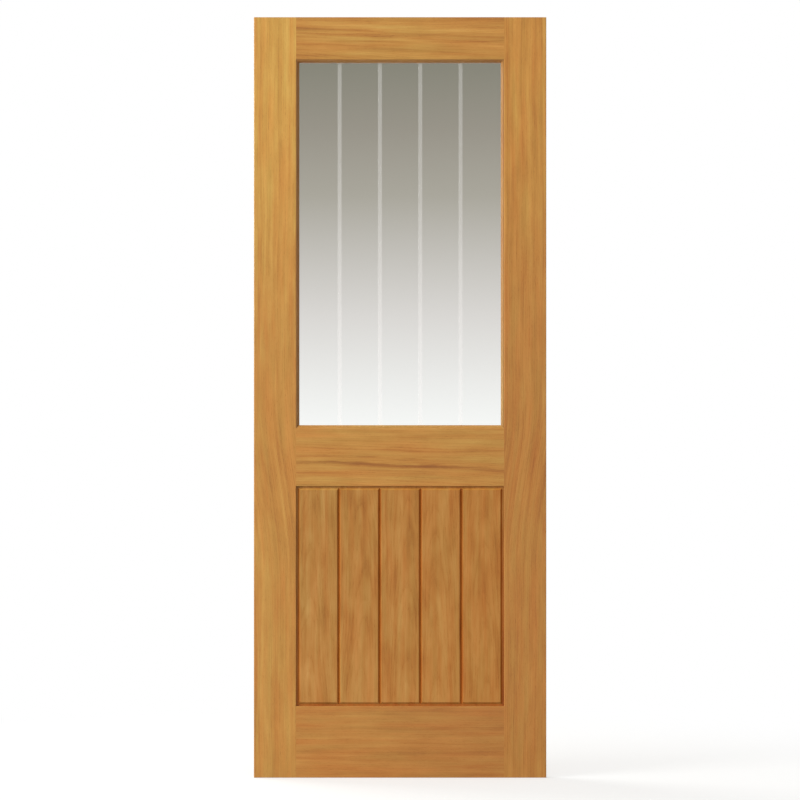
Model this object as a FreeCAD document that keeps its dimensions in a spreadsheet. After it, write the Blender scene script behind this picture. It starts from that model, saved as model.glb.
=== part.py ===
import FreeCAD
import Part
import Sketcher
import math
import os
import re

# Half glazed door leaf for a 30 by 78 inch opening.
# Two edge-lipped stiles and three rails frame a clear pane above and five
# tongued, grooved and vee-jointed boards below. Mitred beads hold the pane from
# both sides on foam tape, and the boards' edges are housed in the frame.
# X runs from the hinge edge to the lock edge, Y from the front face to the back
# and Z up. The origin is at the foot of the hinge edge, at mid thickness.

BOARD_NAMES = ("board_1", "board_2", "board_3", "board_4", "board_5")
BOARD_COUNT = len(BOARD_NAMES)

# Driving dimensions in millimetres: name, value and what it measures.
SIZES = (
    ("leaf_width", 762, "whole leaf, hinge edge to lock edge"),
    ("leaf_height", 1981, "whole leaf, foot to head"),
    ("leaf_thickness", 35, "front face to back face"),
    ("stile_width", 110, "face width of a stile with its lipping"),
    ("top_rail_depth", 110, "height of the top rail's face"),
    ("middle_rail_depth", 151, "height of the middle rail's face"),
    ("bottom_rail_depth", 186, "height of the bottom rail's face"),
    ("panel_height", 573, "clear height between bottom and middle rail"),
    ("lipping_thickness", 10, "solid oak strip on each long edge"),
    ("edge_round", 2, "pencil round on the leaf's long edges"),
    ("inner_arris", 1, "eased edge of the frame round both openings"),
    ("housing_depth", 10, "groove in the frame that holds the boards"),
    ("housing_end_gap", 1, "room left at the bottom of that groove"),
    ("housing_fit", 0.2, "room on each side of a board edge in that groove"),
    ("board_thickness", 29, "boards, front face to back face"),
    ("vee_depth", 5, "depth and half width of a vee joint"),
    ("panel_quirk", 5, "flat margin between the frame and the outer vees"),
    ("tongue_length", 8, "how far a board's tongue stands out"),
    ("tongue_thickness", 6, "thickness of a board's tongue"),
    ("tongue_fit", 0.2, "room on each side and at the tip of a tongue"),
    ("glass_thickness", 4, "toughened pane"),
    ("glass_gap", 2, "edge clearance between the pane and the frame"),
    ("etched_width", 10, "width of an etched line on the pane"),
    ("etched_depth", 0.3, "depth of an etched line on the pane"),
    ("tape_thickness", 1, "foam tape between the pane and a bead"),
    ("tape_width", 5, "foam tape, measured across the bead"),
    ("bead_width", 8, "glazing bead, frame to sight line"),
    ("bead_setback", 1.5, "bead's front below the frame's face"),
    ("bead_flat", 2, "flat margin of a bead beside the frame"),
    ("bead_splay_depth", 7, "fall of a bead's splay to the sight line"),
)

# Sizes that follow from the driving ones.
DERIVED = {
    "opening_width": "leaf_width - 2 * stile_width",
    "panel_top": "bottom_rail_depth + panel_height",
    "glazing_foot": "panel_top + middle_rail_depth",
    "glazing_head": "leaf_height - top_rail_depth",
    "glazing_height": "glazing_head - glazing_foot",
    "half_leaf": "leaf_thickness / 2",
    "half_board": "board_thickness / 2",
    "half_edge": "half_board - vee_depth",
    "half_housing": "half_edge + housing_fit",
    "board_pitch": f"(opening_width - 2 * panel_quirk) / {BOARD_COUNT}",
    "edge_reach": "housing_depth - housing_end_gap",
    "edge_length": "panel_quirk + edge_reach",
    "board_length": "panel_height + 2 * edge_reach",
    "half_tongue": "tongue_thickness / 2",
    "half_slot": "half_tongue + tongue_fit",
    "slot_depth": "tongue_length + tongue_fit",
    "half_glass": "glass_thickness / 2",
    "glass_width": "opening_width - 2 * glass_gap",
    "glass_height": "glazing_height - 2 * glass_gap",
    "line_pitch": f"(opening_width - 2 * bead_width) / {BOARD_COUNT}",
    "first_line": "bead_width - glass_gap + line_pitch",
    "bead_front": "half_leaf - bead_setback",
    "bead_depth": "bead_front - tape_thickness - half_glass",
}

NAMES = {name for name, _, _ in SIZES}


def formula(text):
    """The sheet expression for a formula written with the names above."""

    def expand(match):
        word = match.group()
        if word in DERIVED:
            return f"({formula(DERIVED[word])})"
        return f"Sizes.{word}" if word in NAMES else word

    return re.sub(r"[a-z_]+", expand, text)


doc = FreeCAD.newDocument("HalfGlazedDoor")
sheet = doc.addObject("Spreadsheet::Sheet", "Sizes")
for row, (name, value, note) in enumerate(SIZES, start=1):
    sheet.set(f"A{row}", name)
    sheet.set(f"B{row}", str(value))
    sheet.setAlias(f"B{row}", name)
    sheet.set(f"C{row}", note)
doc.recompute()


# Small modelling helpers

def new_body(label, corner=("0", "0", "0"), turn=None):
    """An empty body whose own origin stands at a corner given by three formulas."""
    body = doc.addObject("PartDesign::Body", label)
    body.Label = label
    body.Placement.Rotation = turn or FreeCAD.Rotation()
    for axis, text in zip("xyz", corner):
        body.setExpression(f"Placement.Base.{axis}", formula(text))
    return body


def outline(body, role, *loops, lift="0"):
    """A sketch on one of the body's origin planes, its corners held by formulas."""
    sketch = body.newObject("Sketcher::SketchObject", "Outline")
    plane = next(f for f in body.Origin.OriginFeatures if f.Role == role)
    sketch.AttachmentSupport = (plane, [""])
    sketch.MapMode = "FlatFace"
    sketch.setExpression("AttachmentOffset.Base.z", formula(lift))
    for corners in loops:
        draw_loop(sketch, corners)
    return sketch


def draw_loop(sketch, corners):
    """A closed run of lines. It starts as a regular shape, and its constraints move it."""
    first = sketch.GeometryCount
    count = len(corners)
    turns = [2 * math.pi * i / count for i in range(count)]
    spots = [FreeCAD.Vector(math.cos(a), math.sin(a), 0) for a in turns]
    for i in range(count):
        sketch.addGeometry(Part.LineSegment(spots[i], spots[(i + 1) % count]), False)
    for i in range(count):
        following = first + (i + 1) % count
        sketch.addConstraint(Sketcher.Constraint("Coincident", first + i, 2, following, 1))
    for i, corner in enumerate(corners):
        for kind, start, text in zip(("DistanceX", "DistanceY"), spots[i], corner):
            held = Sketcher.Constraint(kind, -1, 1, first + i, 1, start)
            index = sketch.addConstraint(held)
            sketch.setExpression(f"Constraints[{index}]", formula(text))


def pad(body, sketch, length, against_normal=False):
    """Adds the sketch's area, drawn out by a formula."""
    feature = body.newObject("PartDesign::Pad", "Pad")
    feature.Profile = sketch
    feature.Reversed = against_normal
    feature.setExpression("Length", formula(length))
    doc.recompute()
    return feature


def pocket(body, sketch, length=None, along_normal=False):
    """Cuts the sketch's area, to a depth given by a formula or right through both ways."""
    feature = body.newObject("PartDesign::Pocket", "Pocket")
    feature.Profile = sketch
    if length:
        feature.Reversed = along_normal
        feature.setExpression("Length", formula(length))
    else:
        feature.Type = "ThroughAll"
        feature.Midplane = True
    doc.recompute()
    return feature


def rectangle(left, right, low, high):
    """Corners of an upright rectangle."""
    return [(left, low), (right, low), (right, high), (left, high)]


FRONT_WAY = FreeCAD.Rotation()
TURNED_ROUND = FreeCAD.Rotation(FreeCAD.Vector(0, 0, 1), 180)


# The frame

def lipping(label, corner_x, turn):
    """A solid oak strip along one long edge, its outer corners rounded."""
    body = new_body(label, (corner_x, "0", "0"), turn)
    section = rectangle("0", "lipping_thickness", "-half_leaf", "half_leaf")
    strip = pad(body, outline(body, "XY_Plane", section), "leaf_height")
    corners = [
        f"Edge{i}"
        for i, edge in enumerate(strip.Shape.Edges, start=1)
        if edge.BoundBox.XMax < 1e-6 and edge.BoundBox.ZLength > edge.BoundBox.YLength
    ]
    rounding = body.newObject("PartDesign::Fillet", "Rounding")
    rounding.Base = (strip, corners)
    rounding.setExpression("Radius", formula("edge_round"))
    return body


def stile(label, corner_x, turn):
    """A stile behind its lipping, housed for the boards and eased round both openings."""
    body = new_body(label, (corner_x, "0", "0"), turn)
    section = rectangle("lipping_thickness", "stile_width", "-half_leaf", "half_leaf")
    pad(body, outline(body, "XY_Plane", section), "leaf_height")

    groove = rectangle("stile_width - housing_depth", "stile_width", "-half_housing", "half_housing")
    foot = "bottom_rail_depth - housing_depth"
    sketch = outline(body, "XY_Plane", groove, lift=foot)
    pocket(body, sketch, "panel_height + 2 * housing_depth", along_normal=True)

    front, back = (
        [
            ("stile_width - inner_arris", f"{side}half_leaf"),
            ("stile_width", f"{side}half_leaf"),
            ("stile_width", f"{side}(half_leaf - inner_arris)"),
        ]
        for side in ("-", "")
    )
    for foot, height in (("bottom_rail_depth", "panel_height"), ("glazing_foot", "glazing_height")):
        sketch = outline(body, "XY_Plane", front, back, lift=foot)
        pocket(body, sketch, height, along_normal=True)
    return body


SAWN_EDGE = [("-half_leaf", "0"), ("half_leaf", "0")]
EASED_EDGE = [
    ("-half_leaf", "inner_arris"),
    ("-(half_leaf - inner_arris)", "0"),
    ("half_leaf - inner_arris", "0"),
    ("half_leaf", "inner_arris"),
]
HOUSED_EDGE = [
    *EASED_EDGE[:2],
    ("-half_housing", "0"),
    ("-half_housing", "housing_depth"),
    ("half_housing", "housing_depth"),
    ("half_housing", "0"),
    *EASED_EDGE[2:],
]


def rail(label, foot, depth, lower_edge, upper_edge):
    """A rail between the stiles, its section drawn from its two edges, front to back."""
    body = new_body(label, ("stile_width", "0", foot))
    upper = [(across, f"{depth} - {inset}") for across, inset in reversed(upper_edge)]
    pad(body, outline(body, "YZ_Plane", lower_edge + upper), "opening_width")
    return body


# The boarded panel

def housed_side(edge, outward):
    """Section of an outer board's edge, which enters the frame, front to back."""
    tip = f"{edge} {outward} edge_length"
    return [(edge, "-half_edge"), (tip, "-half_edge"), (tip, "half_edge"), (edge, "half_edge")]


def slotted_side(edge):
    """Section of the grooved edge of a board, front to back."""
    inside = f"{edge} + slot_depth"
    return [
        (edge, "-half_edge"),
        (edge, "-half_slot"),
        (inside, "-half_slot"),
        (inside, "half_slot"),
        (edge, "half_slot"),
        (edge, "half_edge"),
    ]


def tongued_side(edge):
    """Section of the tongued edge of a board, front to back."""
    tip = f"{edge} + tongue_length"
    return [
        (edge, "-half_edge"),
        (edge, "-half_tongue"),
        (tip, "-half_tongue"),
        (tip, "half_tongue"),
        (edge, "half_tongue"),
        (edge, "half_edge"),
    ]


def board(label, index):
    """One board with a vee at each side, its ends thinned to enter the rails."""
    left_x = f"stile_width + panel_quirk + {index} * board_pitch"
    body = new_body(label, (left_x, "0", "bottom_rail_depth - edge_reach"))

    first, last = index == 0, index == BOARD_COUNT - 1
    left = housed_side("0", "-") if first else slotted_side("0")
    right = housed_side("board_pitch", "+") if last else tongued_side("board_pitch")
    section = [
        ("vee_depth", "-half_board"),
        *left,
        ("vee_depth", "half_board"),
        ("board_pitch - vee_depth", "half_board"),
        *reversed(right),
        ("board_pitch - vee_depth", "-half_board"),
    ]
    pad(body, outline(body, "XY_Plane", section), "board_length")

    waste = [
        ("half_leaf", "0"),
        ("half_edge", "0"),
        ("half_edge", "edge_length"),
        ("half_board", "edge_length + vee_depth"),
        ("half_leaf", "edge_length + vee_depth"),
    ]
    foot_cuts = [waste, [(f"-{across}", up) for across, up in waste]]
    head_cuts = [[(across, f"board_length - ({up})") for across, up in cut] for cut in foot_cuts]
    pocket(body, outline(body, "YZ_Plane", *foot_cuts, *head_cuts))
    return body


# The glazing

def glass_pane():
    """The clear pane, with one etched line above each joint between boards."""
    corner = ("stile_width + glass_gap", "-half_glass", "glazing_foot + glass_gap")
    body = new_body("glass_pane", corner)
    sheet_outline = rectangle("0", "glass_width", "0", "glass_height")
    pad(body, outline(body, "XZ_Plane", sheet_outline), "glass_thickness", against_normal=True)

    line = rectangle(
        "first_line - etched_width / 2", "first_line + etched_width / 2", "0", "glass_height"
    )
    etching = pocket(body, outline(body, "XZ_Plane", line), "etched_depth")
    lines = body.newObject("PartDesign::LinearPattern", "EtchedLines")
    lines.Originals = [etching]
    along = next(f for f in body.Origin.OriginFeatures if f.Role == "X_Axis")
    lines.Direction = (along, [""])
    lines.Occurrences = BOARD_COUNT - 1
    lines.setExpression("Length", formula(f"{BOARD_COUNT - 2} * line_pitch"))
    body.Tip = lines
    return body


# Each run of bead and tape starts at one corner of the opening, seen from its own
# side, and goes anticlockwise: its name, its turn, that corner's X and Z, its length
# and how far its tape stops short of the tape that crosses its ends.
GLAZING_RUNS = (
    ("bottom", 0, "stile_width", "glazing_foot", "opening_width", "0"),
    ("right", -90, "stile_width + opening_width", "glazing_foot", "glazing_height", "tape_width"),
    ("top", 180, "stile_width + opening_width", "glazing_head", "opening_width", "0"),
    ("left", 90, "stile_width", "glazing_head", "glazing_height", "tape_width"),
)


def run_body(side, run, thing, front_depth):
    """A body lying along one run, its own origin a given depth in front of mid thickness."""
    name, degrees, start_x, start_z = run[:4]
    turn = FreeCAD.Rotation(FreeCAD.Vector(0, 1, 0), degrees)
    corner = (start_x, f"-({front_depth})", start_z)
    if side == "back":
        turn = TURNED_ROUND.multiply(turn)
        corner = (f"leaf_width - ({start_x})", front_depth, start_z)
    return new_body(f"{side}_{name}_{thing}", corner, turn)


def glazing_bead(side, run):
    """One mitred bead with a splay that falls to the sight line."""
    body = run_body(side, run, "bead", "bead_front")
    length = run[4]
    mitred = [
        ("0", "0"),
        (length, "0"),
        (f"{length} - bead_width", "bead_width"),
        ("bead_width", "bead_width"),
    ]
    pad(body, outline(body, "XZ_Plane", mitred), "bead_depth", against_normal=True)
    splay = [("0", "bead_flat"), ("0", "bead_width"), ("bead_splay_depth", "bead_width")]
    pocket(body, outline(body, "YZ_Plane", splay))
    return body


def glazing_tape(side, run):
    """One strip of foam tape between the pane's margin and a bead, butted at the corners."""
    body = run_body(side, run, "tape", "half_glass + tape_thickness")
    length, stop = run[4:]
    strip = rectangle(
        f"glass_gap + {stop}", f"{length} - glass_gap - {stop}", "glass_gap", "glass_gap + tape_width"
    )
    pad(body, outline(body, "XZ_Plane", strip), "tape_thickness", against_normal=True)
    return body


# The assembly

pieces = [
    lipping("hinge_edge_lipping", "0", FRONT_WAY),
    lipping("lock_edge_lipping", "leaf_width", TURNED_ROUND),
    stile("hinge_stile", "0", FRONT_WAY),
    stile("lock_stile", "leaf_width", TURNED_ROUND),
    rail("bottom_rail", "0", "bottom_rail_depth", SAWN_EDGE, HOUSED_EDGE),
    rail("middle_rail", "panel_top", "middle_rail_depth", HOUSED_EDGE, EASED_EDGE),
    rail("top_rail", "glazing_head", "top_rail_depth", EASED_EDGE, SAWN_EDGE),
    glass_pane(),
]
pieces += [board(label, index) for index, label in enumerate(BOARD_NAMES)]
for side in ("front", "back"):
    for run in GLAZING_RUNS:
        pieces += [glazing_bead(side, run), glazing_tape(side, run)]
doc.recompute()


# Every feature has to have worked, and every cut has to have removed something.

for thing in doc.Objects:
    if {"Invalid", "Error"} & set(thing.State):
        raise RuntimeError(f"{thing.Label} failed: {thing.State}")
    if thing.TypeId == "PartDesign::Pocket":
        before = thing.BaseFeature.Shape.Volume
        if thing.Shape.Volume > before - 1e-3:
            raise RuntimeError(f"{thing.Label} cut nothing")

os.makedirs("parts", exist_ok=True)
for piece in pieces:
    if piece.Shape.isNull() or not piece.Shape.isValid():
        raise RuntimeError(f"{piece.Label} has no valid shape")
    piece.Shape.exportStep(f"parts/{piece.Label}.step")
print(f"{len(pieces)} pieces written")
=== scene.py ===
import math

import bpy
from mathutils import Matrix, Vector


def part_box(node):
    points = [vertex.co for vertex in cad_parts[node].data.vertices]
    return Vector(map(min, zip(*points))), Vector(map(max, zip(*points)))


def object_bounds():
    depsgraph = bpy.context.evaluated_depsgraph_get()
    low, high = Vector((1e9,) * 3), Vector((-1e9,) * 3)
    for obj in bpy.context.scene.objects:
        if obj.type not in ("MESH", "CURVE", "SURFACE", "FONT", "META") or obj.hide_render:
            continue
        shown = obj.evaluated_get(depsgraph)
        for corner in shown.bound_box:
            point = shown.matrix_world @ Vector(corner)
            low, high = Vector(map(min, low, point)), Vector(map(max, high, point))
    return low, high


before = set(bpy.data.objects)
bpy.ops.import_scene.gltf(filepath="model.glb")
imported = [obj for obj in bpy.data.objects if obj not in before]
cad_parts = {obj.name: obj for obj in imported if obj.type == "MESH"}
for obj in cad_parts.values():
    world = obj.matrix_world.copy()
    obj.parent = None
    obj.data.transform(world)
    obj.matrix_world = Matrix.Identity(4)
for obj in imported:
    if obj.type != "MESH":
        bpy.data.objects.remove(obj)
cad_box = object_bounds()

# Looks of a half glazed oak door leaf: lacquered oak with its grain along each
# piece, a clear pane with etched lines, foam glazing tape, studio and camera.
# Metres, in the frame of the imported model: X along the leaf's width from the hinge
# edge, Y from the front face to the back, Z up.

MM = 0.001
LEAF_LOW, LEAF_HIGH = cad_box
LEAF_CENTRE = (LEAF_LOW + LEAF_HIGH) / 2
BOARD_LOW, BOARD_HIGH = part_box("board_3")
PANE_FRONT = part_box("glass_pane")[0].y

# Where the leaf stands in the photograph, in pixels
PHOTO_SIDE = 800
LEAF_LEFT_PX, LEAF_RIGHT_PX = 254.2, 546.0
LEAF_TOP_PX, LEAF_BOTTOM_PX = 17.2, 777.6


# Colours and node trees

WHITE = (1.0, 1.0, 1.0, 1.0)


def linear(red, green, blue):
    """An sRGB colour of 0 to 255 as the linear colour that shaders take."""
    def channel(value):
        value /= 255
        return value / 12.92 if value <= 0.04045 else ((value + 0.055) / 1.055) ** 2.4
    return (channel(red), channel(green), channel(blue), 1.0)


def grey(value):
    """A linear grey."""
    return (value, value, value, 1.0)


def tinted(colour, tint):
    """A linear colour times a tint for red, green and blue."""
    return (*(c * t for c, t in zip(colour, tint)), 1.0)


class Graph:
    """Adds nodes to an emptied tree. An input given as a socket is linked, and any other value is set."""

    def __init__(self, tree):
        self.tree = tree
        tree.nodes.clear()

    def node(self, kind, inputs=None, **settings):
        made = self.tree.nodes.new(kind)
        for name, value in settings.items():
            setattr(made, name, value)
        for key, value in (inputs or {}).items():
            if isinstance(value, bpy.types.NodeSocket):
                self.tree.links.new(value, made.inputs[key])
            else:
                made.inputs[key].default_value = value
        return made

    def math(self, operation, *values):
        return self.node("ShaderNodeMath", dict(enumerate(values)), operation=operation).outputs[0]

    def vector(self, operation, *values):
        made = self.node("ShaderNodeVectorMath", dict(enumerate(values)), operation=operation)
        return made.outputs["Value" if operation in ("LENGTH", "DOT_PRODUCT") else "Vector"]

    def combine(self, x, y, z):
        return self.node("ShaderNodeCombineXYZ", {0: x, 1: y, 2: z}).outputs[0]

    def separate(self, vector):
        return self.node("ShaderNodeSeparateXYZ", {0: vector}).outputs

    def object_place(self):
        return self.node("ShaderNodeTexCoord").outputs["Object"]

    def true_normal(self):
        return self.node("ShaderNodeNewGeometry").outputs["True Normal"]

    def ray(self):
        return self.node("ShaderNodeLightPath").outputs

    def noise(self, place, scale=1.0, detail=2.0, roughness=0.5, output="Fac"):
        inputs = {"Vector": place, "Scale": scale, "Detail": detail, "Roughness": roughness}
        return self.node("ShaderNodeTexNoise", inputs).outputs[output]

    def noise_line(self, place, scale, detail=1.0):
        inputs = {"W": place, "Scale": scale, "Detail": detail}
        return self.node("ShaderNodeTexNoise", inputs, noise_dimensions="1D").outputs["Fac"]

    def span(self, value, low, high, to_low=0.0, to_high=1.0, smooth=True):
        """The value's run from low to high as a run from to_low to to_high."""
        kind = "SMOOTHSTEP" if smooth else "LINEAR"
        inputs = {"Value": value, 1: low, 2: high, 3: to_low, 4: to_high}
        return self.node("ShaderNodeMapRange", inputs, interpolation_type=kind).outputs[0]

    def ramp(self, value, stops):
        made = self.node("ShaderNodeValToRGB", {0: value})
        elements = made.color_ramp.elements
        while len(elements) < len(stops):
            elements.new(1.0)
        for element, (place, colour) in zip(elements, stops):
            element.position = place
            element.color = colour
        return made.outputs["Color"]

    def blend(self, share, first, second, kind="MIX"):
        inputs = {0: share, 6: first, 7: second}
        return self.node("ShaderNodeMix", inputs, data_type="RGBA", blend_type=kind).outputs[2]

    def tint(self, colour, tint, share=1.0):
        return self.blend(share, colour, tint, kind="MULTIPLY")

    def bump(self, height, depth, strength):
        inputs = {"Height": height, "Distance": depth, "Strength": strength}
        return self.node("ShaderNodeBump", inputs).outputs[0]

    def mix(self, share, first, second):
        """A share of the second shader in the first."""
        inputs = {0: share, 1: first.outputs[0], 2: second.outputs[0]}
        return self.node("ShaderNodeMixShader", inputs)

    def surface(self, shader):
        self.node("ShaderNodeOutputMaterial", {"Surface": shader.outputs[0]})


def new_material(name):
    """An empty node material and its graph."""
    material = bpy.data.materials.new(name)
    material.use_nodes = True
    return material, Graph(material.node_tree)


def dress(node, *materials):
    """Puts materials in a CAD node's slots."""
    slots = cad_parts[node].data.materials
    slots.clear()
    for material in materials:
        slots.append(material)


# The figure of oak, drawn in millimetres of the log

RING_WIDTH, RING_UNEVENNESS = 3.2, 1.5
# Where early wood is fullest in a ring and where it ends, as shares of the ring
EARLY_PEAK, EARLY_END = 0.12, 0.62
# How fast the unevenness and the wide and fine bands of rings change, per ring
UNEVEN_SCALE, WIDE_SCALE, FINE_SCALE = 0.4, 0.10, 0.36
WIDE_SHARE, FINE_SHARE = 0.6, 0.4
# The share of pores that late wood keeps
LATE_PORES = 0.25
# The stretch of each noise that is spread over 0 to 1
NOISE_LOW, NOISE_HIGH = 0.3, 0.7
RED_LOW, RED_HIGH = 0.32, 0.68
PORE_LOW, PORE_HIGH = 0.56, 0.68
# How fast each part changes along the grain, across the face and through the
# thickness, per millimetre
WANDER_SCALE = (0.0022, 0.008, 0.008)
STREAK_SCALE = (0.0018, 0.085, 0.085)
DASH_SCALE = (0.014, 0.11, 0.11)
BLOTCH_SCALE = (0.010, 0.03, 0.03)
FIBRE_SCALE = (0.006, 0.9, 0.9)
PORE_SCALE = (0.085, 2.4, 2.4)
RED_SCALE = (0.0045, 0.05, 0.05)
WANDER_REACH = (0.0, 20.0, 20.0)
MID_NOISE = (0.5, 0.5, 0.5)


def growth_rings(g, grain, pith):
    """Rings about a leaning pith: the radius, the early wood in each ring and bands of rings."""
    along = g.separate(grain)[0]
    lean = g.math("MULTIPLY", along, g.separate(pith)[0])
    point = g.vector("ADD", g.vector("SUBTRACT", grain, pith), g.combine(0.0, 0.0, lean))
    radius = g.vector("LENGTH", g.vector("MULTIPLY", point, (0.0, 1.0, 1.0)))
    ring = g.math("DIVIDE", radius, RING_WIDTH)
    ring = g.math("MULTIPLY_ADD", g.noise_line(ring, UNEVEN_SCALE), RING_UNEVENNESS, ring)
    within = g.math("FRACT", ring)
    rising, falling = g.span(within, 0.0, EARLY_PEAK), g.span(within, EARLY_PEAK, EARLY_END, 1.0, 0.0)
    early = g.math("MULTIPLY", rising, falling)
    wide_bands = g.math("MULTIPLY", g.noise_line(ring, WIDE_SCALE), WIDE_SHARE)
    fine_bands = g.math("MULTIPLY", g.noise_line(ring, FINE_SCALE, detail=2.0), FINE_SHARE)
    return radius, early, g.math("ADD", wide_bands, fine_bands)


def oak_figure():
    """Node group: the figure of oak at a point of the log.

    Grain is a point with X along the grain, Y across the face and Z through the
    thickness. Pith is where the log's middle lies in Y and Z, and its X is how much
    the log leans away from the piece. Radius is the distance from the pith, and the
    other outputs run from 0 to 1.
    """
    tree = bpy.data.node_groups.new("oak_figure", "ShaderNodeTree")
    g = Graph(tree)
    for name in ("Grain", "Pith"):
        tree.interface.new_socket(name, in_out="INPUT", socket_type="NodeSocketVector")
    source = g.node("NodeGroupInput").outputs

    # The grain wanders from side to side as the log grew
    straight = source["Grain"]
    wander = g.noise(g.vector("MULTIPLY", straight, WANDER_SCALE), output="Color")
    wander = g.vector("MULTIPLY", g.vector("SUBTRACT", wander, MID_NOISE), WANDER_REACH)
    grain = g.vector("ADD", straight, wander)

    def drawn(scale, **settings):
        return g.noise(g.vector("MULTIPLY", grain, scale), **settings)

    def spread(value, low=NOISE_LOW, high=NOISE_HIGH):
        return g.span(value, low, high, smooth=False)

    radius, early, bands = growth_rings(g, grain, source["Pith"])
    pores = g.span(drawn(PORE_SCALE, detail=1.0), PORE_LOW, PORE_HIGH)
    results = {
        "Bands": spread(bands),
        "Early": early,
        "Streak": spread(drawn(STREAK_SCALE, detail=3.0, roughness=0.6)),
        "Dash": spread(drawn(DASH_SCALE)),
        "Blotch": spread(drawn(BLOTCH_SCALE)),
        "Fibre": spread(drawn(FIBRE_SCALE, detail=3.0, roughness=0.6)),
        "Pores": g.math("MULTIPLY", pores, g.span(early, 0.0, 1.0, LATE_PORES, 1.0)),
        "Red": spread(drawn(RED_SCALE, detail=3.0), RED_LOW, RED_HIGH),
        "Radius": radius,
    }
    for name in results:
        tree.interface.new_socket(name, in_out="OUTPUT", socket_type="NodeSocketFloat")
    g.node("NodeGroupOutput", results)
    return tree


# Lacquered oak

OAK_FIGURE = oak_figure()
# From the darkest pore to the palest late wood
OAK_TONES = (
    (0.0, linear(108, 60, 19)),
    (0.30, linear(164, 107, 42)),
    (0.50, linear(187, 133, 60)),
    (0.72, linear(203, 154, 79)),
    (1.0, linear(222, 178, 106)),
)
RED_TINT = (1.03, 0.93, 0.87, 1.0)
GOLD_TINT = (0.98, 1.06, 1.06, 1.0)
RESTING_TONE = 0.57
SWAY_SHADE = 0.2
# The value of each part of the figure that leaves the tone as it is, and how strongly
# that part shows in a plain piece
RESTING = {"Bands": 0.5, "Streak": 0.5, "Dash": 0.5, "Blotch": 0.5, "Fibre": 0.5,
           "Early": 0.0, "Pores": 0.0}
PLAIN_OAK = {"Bands": 0.14, "Streak": 0.17, "Dash": 0.07, "Blotch": 0.11, "Fibre": 0.11,
             "Early": -0.05, "Pores": -0.22}
UPRIGHT, LEVEL = "upright", "level"
# How far apart in the log two pieces with neighbouring seeds lie, in millimetres
SEED_STEP = Vector((731.0, 287.0, 53.0))
SATIN = 0.4
LACQUER_IOR, COAT_SHARE, COAT_ROUGHNESS = 1.48, 0.4, 0.3
# The lowest roughness, and what fibre and pores add to it
SMOOTHEST, FIBRE_ROUGHNESS, PORE_ROUGHNESS = 0.34, 0.12, 0.18
# The depth of a pore, the height of fibre as a share of that, and the bump's strength
PORE_DEPTH, FIBRE_RISE, GRAIN_BUMP = 0.06 * MM, 0.35, 0.5


def figure_at(g, place, seed, pith):
    """The parts of the figure at a place in metres, moved to the piece's own place in the log."""
    shift = SEED_STEP * seed
    lean, pith_across, pith_deep = pith
    inputs = {
        "Grain": g.vector("ADD", g.vector("MULTIPLY", place, (1 / MM, 1 / MM, 1 / MM)), shift),
        "Pith": (lean, pith_across + shift.y, pith_deep + shift.z + lean * shift.x),
    }
    return g.node("ShaderNodeGroup", inputs, node_tree=OAK_FIGURE).outputs


def lacquered(g, figure, colour, gloss):
    """Lacquer over open grain: the pores are fine pits, and a little rougher."""
    rough = g.math("MULTIPLY_ADD", figure["Fibre"], FIBRE_ROUGHNESS, SMOOTHEST)
    rough = g.math("MULTIPLY_ADD", figure["Pores"], PORE_ROUGHNESS, rough)
    fibre = g.math("MULTIPLY", figure["Fibre"], FIBRE_RISE)
    height = g.math("MULTIPLY_ADD", figure["Pores"], -1.0, fibre)
    return g.node("ShaderNodeBsdfPrincipled", {
        "Base Color": colour,
        "Roughness": rough,
        "Normal": g.bump(height, PORE_DEPTH, GRAIN_BUMP),
        "IOR": LACQUER_IOR,
        "Specular IOR Level": gloss,
        "Coat Weight": COAT_SHARE * gloss,
        "Coat Roughness": COAT_ROUGHNESS,
    })


def oak(name, lay, seed, pith, tone, gloss=SATIN, edges=None, marks=None, fade=None, sway=None, **shares):
    """Lacquered oak for one piece.

    lay says which way the grain runs, seed gives the piece its own place in the log,
    and pith is as in the figure. tone tints the piece, gloss is its specular level,
    edges colours its edges and marks darkens it in places. fade, (start, end, tint),
    tints it more and more from start to end of its length. sway, (start, end,
    sideways), bends the grain aside between start and end, where it is a little
    darker. shares say how strongly parts of the figure show.
    """
    material, g = new_material(name)
    x, y, z = g.separate(g.object_place())
    along, across = (z, x) if lay == UPRIGHT else (x, z)
    value = RESTING_TONE
    if sway:
        start, end, sideways = sway
        turned = g.span(along, start, end)
        across = g.math("MULTIPLY_ADD", turned, sideways, across)
        turning = g.math("MULTIPLY", turned, g.math("SUBTRACT", 1.0, turned))
        value = g.math("MULTIPLY_ADD", turning, -SWAY_SHADE, value)
    figure = figure_at(g, g.combine(along, across, y), seed, pith)

    # Each part of the figure moves the tone up or down
    for part, share in (PLAIN_OAK | shares).items():
        above = g.math("SUBTRACT", figure[part], RESTING[part])
        value = g.math("MULTIPLY_ADD", above, share, value)
    if marks:
        value = g.math("SUBTRACT", value, marks(g, figure, along))
    colour = g.ramp(value, [(stop, tinted(shade, tone)) for stop, shade in OAK_TONES])
    colour = g.tint(colour, g.blend(figure["Red"], GOLD_TINT, RED_TINT))
    if fade:
        start, end, fade_tint = fade
        colour = g.tint(colour, (*fade_tint, 1.0), g.span(along, start, end))
    if edges:
        colour = edges(g, colour)
    g.surface(lacquered(g, figure, colour, gloss))
    return material


# The frame: straight-grained stiles and lippings, rails with longer sweeps of figure

RUBBED, RUBBED_SHARE = (1.10, 1.12, 1.15, 1.0), 0.6
# The largest part of the normal on a flat face and on an eased edge
FLAT, EASED = 0.985, 0.90
STREAK_RADIUS, STREAK_RAGGEDNESS = 163.0, 3.5
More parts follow.
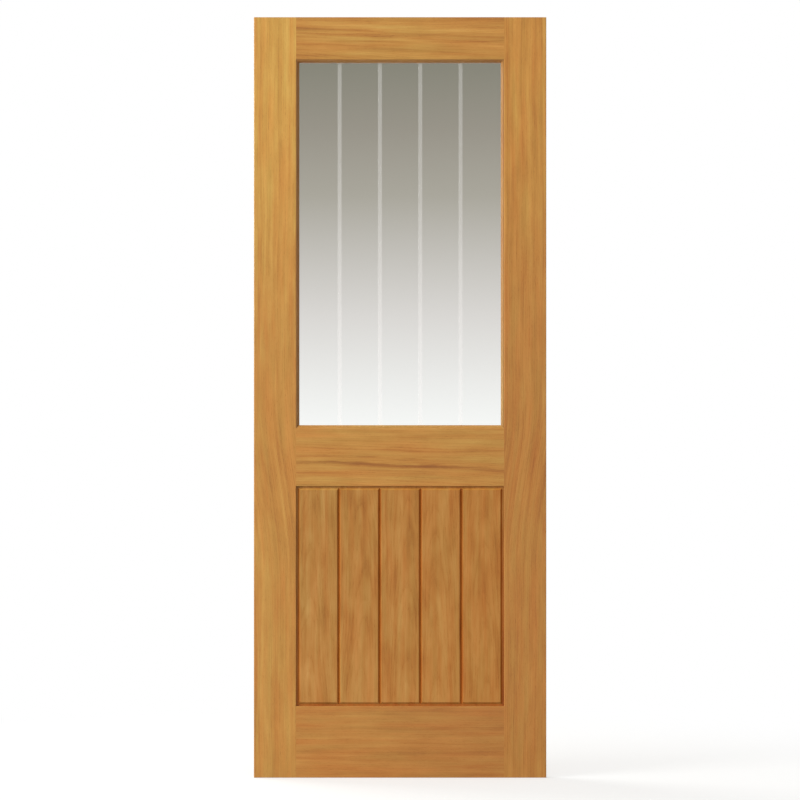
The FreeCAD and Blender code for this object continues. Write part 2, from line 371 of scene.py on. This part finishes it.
# How far outside that radius each dark line lies, its half width, both in millimetres,
# and its darkness
STREAK_LINES = ((0.0, 6.5, 0.30), (13.0, 2.5, 0.10), (30.0, 3.0, 0.12), (37.0, 2.0, 0.08))
# From where to where along the rail the streak deepens and fades, and its shares there
STREAK_DEEPENS = (0.08, 0.20, 0.4, 1.0)
STREAK_FADES = (0.44, 0.64, 1.0, 0.3)


def rubbed_arrises(g, colour):
    """Eased edges, where the normal leaves the main directions, are rubbed a little paler."""
    nx, ny, nz = g.separate(g.vector("ABSOLUTE", g.true_normal()))
    squareness = g.math("MAXIMUM", g.math("MAXIMUM", nx, ny), nz)
    return g.tint(colour, RUBBED, g.span(squareness, FLAT, EASED, 0.0, RUBBED_SHARE))


def heart_streak(g, figure, along):
    """A dark streak along one ring, with finer ones outside it."""
    off_middle = g.math("SUBTRACT", figure["Dash"], 0.5)
    ragged = g.math("MULTIPLY_ADD", off_middle, STREAK_RAGGEDNESS, figure["Radius"])
    total = 0.0
    for outward, half_width, darkness in STREAK_LINES:
        off = g.math("ABSOLUTE", g.math("SUBTRACT", ragged, STREAK_RADIUS + outward))
        total = g.math("MULTIPLY_ADD", g.span(off, 0.0, half_width, 1.0, 0.0), darkness, total)
    share = g.math("MULTIPLY", g.span(along, *STREAK_DEEPENS), g.span(along, *STREAK_FADES))
    return g.math("MULTIPLY", total, share)


FAR_PITH = (0.0, 420.0, 160.0)
HINGE_TONE = (0.967, 0.93, 0.86)
# The stiles grow paler and more golden towards the head of the leaf, and their grain
# sways aside near the middle rail
HINGE_OAK = {"Streak": 0.14, "fade": (1.05, 1.85, (1.15, 1.29, 1.30)), "sway": (0.52, 1.0, 0.045)}
LOCK_OAK = {"Streak": 0.21, "fade": (1.05, 1.85, (1.13, 1.21, 1.15)), "sway": (0.52, 1.0, -0.045)}
# The top rail has the strongest figure, the middle rail a dark streak, and the bottom
# rail, the plainest, darkens towards the lock side
TOP_OAK = {"Bands": 0.29, "Streak": 0.26}
MIDDLE_OAK = {"Bands": 0.08, "marks": heart_streak}
BOTTOM_OAK = {"Bands": 0.11, "Streak": 0.13, "fade": (0.12, 0.65, (0.93, 0.885, 0.87))}
FRAME_OAK = (
    ("hinge_stile", UPRIGHT, 1, FAR_PITH, HINGE_TONE, HINGE_OAK),
    ("hinge_edge_lipping", UPRIGHT, 2, FAR_PITH, HINGE_TONE, HINGE_OAK),
    ("lock_stile", UPRIGHT, 3, FAR_PITH, (0.91, 0.79, 0.69), LOCK_OAK),
    ("lock_edge_lipping", UPRIGHT, 4, FAR_PITH, (0.90, 0.78, 0.68), LOCK_OAK),
    ("top_rail", LEVEL, 5, (-0.06, 1760.0, 100.0), (0.94, 0.89, 0.755), TOP_OAK),
    ("middle_rail", LEVEL, 36, (-0.03, 700.0, 90.0), (0.953, 0.904, 0.83), MIDDLE_OAK),
    ("bottom_rail", LEVEL, 7, (0.01, 500.0, 140.0), (0.94, 0.82, 0.745), BOTTOM_OAK),
)
for node, lay, seed, pith, tone, special in FRAME_OAK:
    dress(node, oak(f"oak_{node}", lay, seed, pith, tone, edges=rubbed_arrises, **special))


# The boards: sawn near the heart of the log, softly blotched, a little paler at the foot

BOARD_FACE = BOARD_HIGH.y
# Real stain gathered in the recesses, with painted shade for the shade that falls there
STAIN_AND_SHADE = (0.82, 0.57, 0.32, 1.0)
# A painted highlight for the bevels at the heads of the boards, which face up
PAINTED_HEAD_HIGHLIGHT = (1.24, 1.30, 1.24, 1.0)
# How far below a board's face the stain and painted shade begin and are full, and their share on flats at
# the head
STAIN_AND_SHADE_BEGINS, STAIN_AND_SHADE_FULL, STAIN_AND_SHADE_AT_HEAD = 0.2 * MM, 2.5 * MM, 0.2
# How much of the normal begins to make a face a bevel, or a flat, and makes it fully so
BEVEL = (0.3, 0.6)
FLAT_MARGIN = (0.8, 0.95)
BOARD_COUNT, BOARD_SEED = 5, 80
# The lean of the log, how deep its pith lies and how far it moves aside by turns
BOARD_LEAN, BOARD_PITH_DEPTH, BOARD_PITH_STEP = -0.04, 34.0, 16.0
# The tone of the first board from the hinge edge, and how much redder each next one is
BOARD_TONE = Vector((0.895, 0.84, 0.99))
BOARD_TONE_STEP = Vector((0.003, -0.018, -0.05))
BOARD_OAK = {"gloss": 0.2, "Bands": 0.14, "Dash": 0.07, "Blotch": 0.21, "Fibre": 0.07,
             "Early": -0.03, "Pores": -0.16, "fade": (0.25, 0.70, (0.955, 0.97, 0.965))}


def stained_and_shaded_joints(g, colour):
    """Stain and painted shade in the vees and on the flat margins, most towards the foot, which the light
    from above reaches least.

    The bevels across the heads of the boards, which face up, are painted paler: a painted highlight, as
    lit from above.
    """
    _, depth, height = g.separate(g.object_place())
    recess = g.span(g.math("ABSOLUTE", depth), BOARD_FACE - STAIN_AND_SHADE_BEGINS, BOARD_FACE - STAIN_AND_SHADE_FULL)
    sideways, forward, upward = g.separate(g.true_normal())
    in_vees = g.span(g.math("ABSOLUTE", sideways), *BEVEL)
    stain_and_shade_towards_foot = g.span(height, BOARD_LOW.z, BOARD_HIGH.z, 1.0, STAIN_AND_SHADE_AT_HEAD, smooth=False)
    on_flats = g.math("MULTIPLY", g.span(g.math("ABSOLUTE", forward), *FLAT_MARGIN), stain_and_shade_towards_foot)
    # Stain with painted shade: the vees and flat margins darker, the flats most towards the foot
    colour = g.tint(colour, STAIN_AND_SHADE, g.math("MULTIPLY", recess, g.math("MAXIMUM", in_vees, on_flats)))
    # Painted highlight on the bevels that face up
    return g.tint(colour, PAINTED_HEAD_HIGHLIGHT, g.span(upward, *BEVEL))


for index in range(BOARD_COUNT):
    node = f"board_{index + 1}"
    low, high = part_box(node)
    middle = (low.x + high.x) / 2 / MM
    pith = (BOARD_LEAN, middle + BOARD_PITH_STEP * (index % 3 - 1), BOARD_PITH_DEPTH)
    tone = BOARD_TONE + index * BOARD_TONE_STEP
    seed = BOARD_SEED + index
    dress(node, oak(f"oak_{node}", UPRIGHT, seed, pith, tone, edges=stained_and_shaded_joints, **BOARD_OAK))


# The glazing

# Painted light and shade on the beads, as lit from high on the left: the top and left runs darkened most,
# the right run a little, the bottom run paler. The back beads take the same tones.
SHADED_BEAD_TONE = (0.62, 0.55, 0.52)
BEAD_RUNS_LIT_AND_SHADED = (
    ("bottom", LEVEL, (1.0, 1.02, 1.12)),
    ("right", UPRIGHT, (0.68, 0.64, 0.62)),
    ("top", LEVEL, SHADED_BEAD_TONE),
    ("left", UPRIGHT, SHADED_BEAD_TONE),
)
BEAD_SEEDS = {"front": 20, "back": 24}
GLASS_IOR = 1.5
GLASS_TINT = (0.925, 0.94, 0.93, 1.0)
ETCHED_TINT, ETCHED_CLEARNESS = (0.75, 0.76, 0.755, 1.0), 0.81
FROST_SCALE, FROST_DEPTH, FROST_BUMP = 1400.0, 0.01 * MM, 0.1
FROST_SMOOTHEST, FROST_ROUGHEST = 0.06, 0.14
# An etched face looks forward, and lies further than this behind the front of the pane
LOOKS_FORWARD, ETCH_DEPTH_LIMIT = -0.9, 0.1 * MM
CLEAR_SLOT, ETCHED_SLOT = 0, 1
FOAM_TONES = ((0.35, linear(186, 168, 136)), (0.65, linear(205, 188, 156)))
FOAM_GLOSS = 0.25
PATCH_SCALE, CELL_SCALE, CELL_DEPTH, CELL_BUMP = 90.0, 3500.0, 0.1 * MM, 0.4
# How far from its middle a cell's edge lies, and the roughness at its middle and edge
CELL_EDGE, MIDDLE_ROUGHNESS, EDGE_ROUGHNESS = 0.8, 0.75, 0.95


def lets_lamps_through(g, shader, tint):
    """The shader, which is only a tint to the light of lamps."""
    clear = g.node("ShaderNodeBsdfTransparent", {"Color": tint})
    return g.mix(g.ray()["Is Shadow Ray"], shader, clear)


def clear_glass():
    """Clear float glass, faintly green."""
    material, g = new_material("clear_glass")
    shader = g.node("ShaderNodeBsdfPrincipled", {
        "Base Color": GLASS_TINT,
        "Roughness": 0.0,
        "IOR": GLASS_IOR,
        "Transmission Weight": 1.0,
    })
    g.surface(lets_lamps_through(g, shader, GLASS_TINT))
    return material


def etched_glass():
    """The same glass with its surface etched: rough, and partly white."""
    material, g = new_material("etched_glass")
    frost = g.noise(g.object_place(), FROST_SCALE)
    shader = g.node("ShaderNodeBsdfPrincipled", {
        "Base Color": WHITE,
        "Roughness": g.span(frost, NOISE_LOW, NOISE_HIGH, FROST_SMOOTHEST, FROST_ROUGHEST),
        "Normal": g.bump(frost, FROST_DEPTH, FROST_BUMP),
        "IOR": GLASS_IOR,
        "Transmission Weight": ETCHED_CLEARNESS,
    })
    g.surface(lets_lamps_through(g, shader, ETCHED_TINT))
    return material


def foam_tape():
    """Closed-cell foam, matt, with its cells as a fine bump."""
    material, g = new_material("foam_tape")
    place = g.object_place()
    cells = g.node("ShaderNodeTexVoronoi", {"Vector": place, "Scale": CELL_SCALE}).outputs["Distance"]
    g.surface(g.node("ShaderNodeBsdfPrincipled", {
        "Base Color": g.ramp(g.noise(place, PATCH_SCALE), FOAM_TONES),
        "Roughness": g.span(cells, 0.0, CELL_EDGE, MIDDLE_ROUGHNESS, EDGE_ROUGHNESS),
        "Normal": g.bump(cells, CELL_DEPTH, CELL_BUMP),
        "Specular IOR Level": FOAM_GLOSS,
    }))
    return material


tape = foam_tape()
for side, first_seed in BEAD_SEEDS.items():
    for number, (run, lay, tone) in enumerate(BEAD_RUNS_LIT_AND_SHADED):
        bead = f"{side}_{run}_bead"
        # Each bead takes the painted light and shade tone of its run
        dress(bead, oak(f"oak_{bead}", lay, first_seed + number, FAR_PITH, tone))
        dress(f"{side}_{run}_tape", tape)

dress("glass_pane", clear_glass(), etched_glass())
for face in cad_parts["glass_pane"].data.polygons:
    etched = face.normal.y < LOOKS_FORWARD and face.center.y > PANE_FRONT + ETCH_DEPTH_LIMIT
    face.material_index = ETCHED_SLOT if etched else CLEAR_SLOT


# The studio: light comes from high on the left, and the pane shows warm grey high up

BRIGHT_WAY = Vector((-0.5, -0.55, 0.67)).normalized()
DIM, BRIGHT = (0.28, 0.278, 0.27, 1.0), (1.0, 0.99, 0.95, 1.0)
# The cosines of the angle from the bright way at which light is dimmest and brightest
DIMMEST, BRIGHTEST = -0.4, 1.0
# What the pane shows behind it, by the sine of the height angle
HAZE_LOW, HAZE_HIGH = -0.008, 0.10
HAZE = (
    (0.0, linear(255, 255, 254)),
    (0.30, linear(223, 219, 216)),
    (0.62, linear(171, 166, 155)),
    (0.80, linear(151, 145, 133)),
    (1.0, linear(128, 126, 111)),
)
FLOOR_HALF, FLOOR_DROP = 30.0, 1 * MM
# The floor's grey to bounced light, and its grey and its glow to the eye near the leaf
FLOOR_BOUNCE, FLOOR_SHADE, FLOOR_GLOW = 0.3, 0.4, 0.56
# How far from the leaf's middle the floor begins to turn plain white, and is
FLOOR_NEAR, FLOOR_FAR = 0.6, 2.0
LAMP_SIDE, LAMP_COLOUR = 3.2, (1.0, 0.985, 0.94)


def studio_world():
    """Soft light that is brightest high on the left, and a backdrop: white, or haze through glass."""
    world = bpy.data.worlds.new("studio")
    world.use_nodes = True
    g = Graph(world.node_tree)
    way = g.node("ShaderNodeTexCoord").outputs["Generated"]
    ray = g.ray()
    towards = g.vector("DOT_PRODUCT", way, BRIGHT_WAY)
    light = g.blend(g.span(towards, DIMMEST, BRIGHTEST), DIM, BRIGHT)
    colour = g.blend(g.math("MAXIMUM", ray["Is Camera Ray"], ray["Is Glossy Ray"]), light, WHITE)
    # Rays through glass can count as glossy too, so their haze comes last
    haze = g.ramp(g.span(g.separate(way)[2], HAZE_LOW, HAZE_HIGH, smooth=False), HAZE)
    colour = g.blend(ray["Is Transmission Ray"], colour, haze)
    background = g.node("ShaderNodeBackground", {"Color": colour, "Strength": 1.0})
    g.node("ShaderNodeOutputWorld", {"Surface": background.outputs[0]})
    bpy.context.scene.world = world


def floor_material():
    """Matt grey to light, and to the eye white with the leaf's shadow about its foot."""
    material, g = new_material("floor")
    shaded = g.node("ShaderNodeBsdfDiffuse", {"Color": grey(FLOOR_SHADE)})
    glow = g.node("ShaderNodeEmission", {"Color": WHITE, "Strength": FLOOR_GLOW})
    near = g.node("ShaderNodeAddShader", {0: shaded.outputs[0], 1: glow.outputs[0]})
    far = g.node("ShaderNodeEmission", {"Color": WHITE, "Strength": 1.0})
    away = g.vector("LENGTH", g.object_place())
    pale = g.mix(g.span(away, FLOOR_NEAR, FLOOR_FAR), near, far)
    matt = g.node("ShaderNodeBsdfDiffuse", {"Color": grey(FLOOR_BOUNCE)})
    ray = g.ray()
    seen = g.math("MAXIMUM", ray["Is Camera Ray"], ray["Is Transmission Ray"])
    seen = g.math("MAXIMUM", seen, ray["Is Glossy Ray"])
    g.surface(g.mix(seen, matt, pale))
    return material


def floor():
    """A wide pale floor just under the leaf."""
    mesh = bpy.data.meshes.new("floor")
    corners = [(x * FLOOR_HALF, y * FLOOR_HALF, 0) for x, y in ((-1, -1), (1, -1), (1, 1), (-1, 1))]
    mesh.from_pydata(corners, [], [(0, 1, 2, 3)])
    mesh.materials.append(floor_material())
    thing = bpy.data.objects.new("floor", mesh)
    thing.location = (LEAF_CENTRE.x, LEAF_CENTRE.y, LEAF_LOW.z - FLOOR_DROP)
    bpy.context.scene.collection.objects.link(thing)


def softbox(name, place, watts):
    """A square area lamp that faces the middle of the leaf and doesn't show through the pane."""
    lamp = bpy.data.lights.new(name, "AREA")
    lamp.size = LAMP_SIDE
    lamp.energy = watts
    lamp.color = LAMP_COLOUR
    thing = bpy.data.objects.new(name, lamp)
    thing.location = place
    thing.rotation_euler = (LEAF_CENTRE - Vector(place)).to_track_quat("-Z", "Y").to_euler()
    thing.visible_transmission = False
    bpy.context.scene.collection.objects.link(thing)


studio_world()
floor()
softbox("key", (-4.2, -3.2, 2.2), 240)
softbox("back_key", (-3.6, 3.2, 3.0), 200)


# The camera: square on, far back, framed as the photograph

CAMERA_DISTANCE, FARTHEST_SEEN = 9.0, 200.0
metres_per_pixel = (LEAF_HIGH.z - LEAF_LOW.z) / (LEAF_BOTTOM_PX - LEAF_TOP_PX)
middle_right = (LEAF_LEFT_PX + LEAF_RIGHT_PX - PHOTO_SIDE) / 2
middle_down = (LEAF_TOP_PX + LEAF_BOTTOM_PX - PHOTO_SIDE) / 2

camera = bpy.data.cameras.new("camera")
camera.lens = camera.sensor_width * CAMERA_DISTANCE / (PHOTO_SIDE * metres_per_pixel)
camera.clip_end = FARTHEST_SEEN
view = bpy.data.objects.new("camera", camera)
view.location = (
    LEAF_CENTRE.x - middle_right * metres_per_pixel,
    LEAF_LOW.y - CAMERA_DISTANCE,
    LEAF_CENTRE.z + middle_down * metres_per_pixel,
)
view.rotation_euler = (math.pi / 2, 0.0, 0.0)
scene = bpy.context.scene
scene.collection.objects.link(view)
scene.camera = view
scene.view_settings.view_transform = "Standard"
